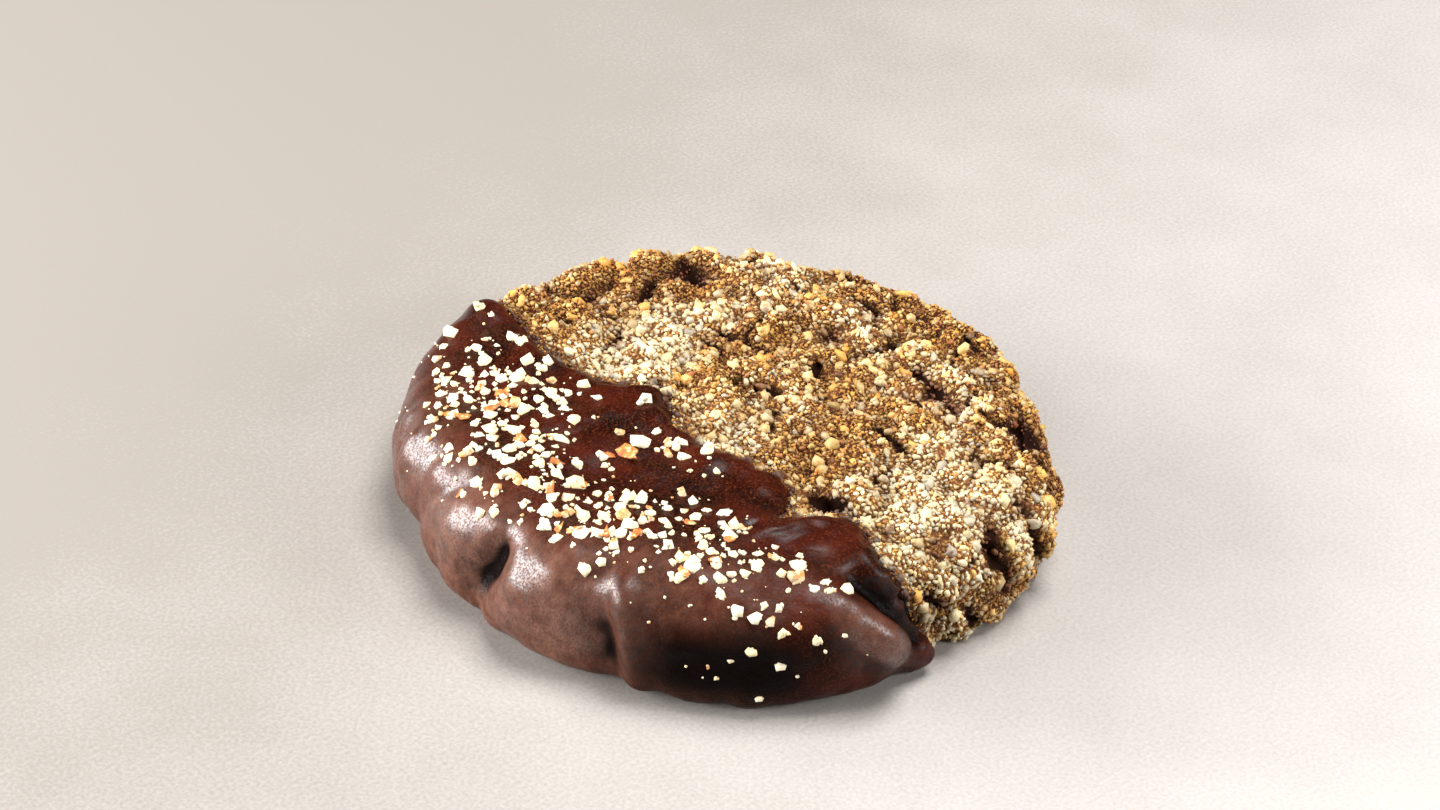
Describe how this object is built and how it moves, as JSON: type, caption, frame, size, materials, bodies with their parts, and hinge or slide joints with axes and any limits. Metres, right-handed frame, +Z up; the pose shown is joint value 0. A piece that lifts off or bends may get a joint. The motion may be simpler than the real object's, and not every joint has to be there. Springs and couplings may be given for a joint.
{
  "type": "chocolate-dipped nut cookie",
  "caption": "Round craggy cookie of ground nuts, one side dipped in dark chocolate and strewn there with chopped nuts; it lies on its flat base.",
  "frame": {"origin": "middle of the cookie's plan, on the flat base", "axes": "+Z up through the thickness; the dipped side lies towards -X and the bare side towards +X"},
  "size_m": [0.0801, 0.0815, 0.0174],
  "materials": {
    "biscuit": "rough baked crumb of ground nuts, golden to brown with cream bits",
    "chocolate_coat": "satin dark chocolate with chopped cream-coloured nuts set in it"
  },
  "bodies": {
    "root": {"biscuit": "biscuit", "chocolate_coat": "chocolate_coat"}
  },
  "joints": []
}
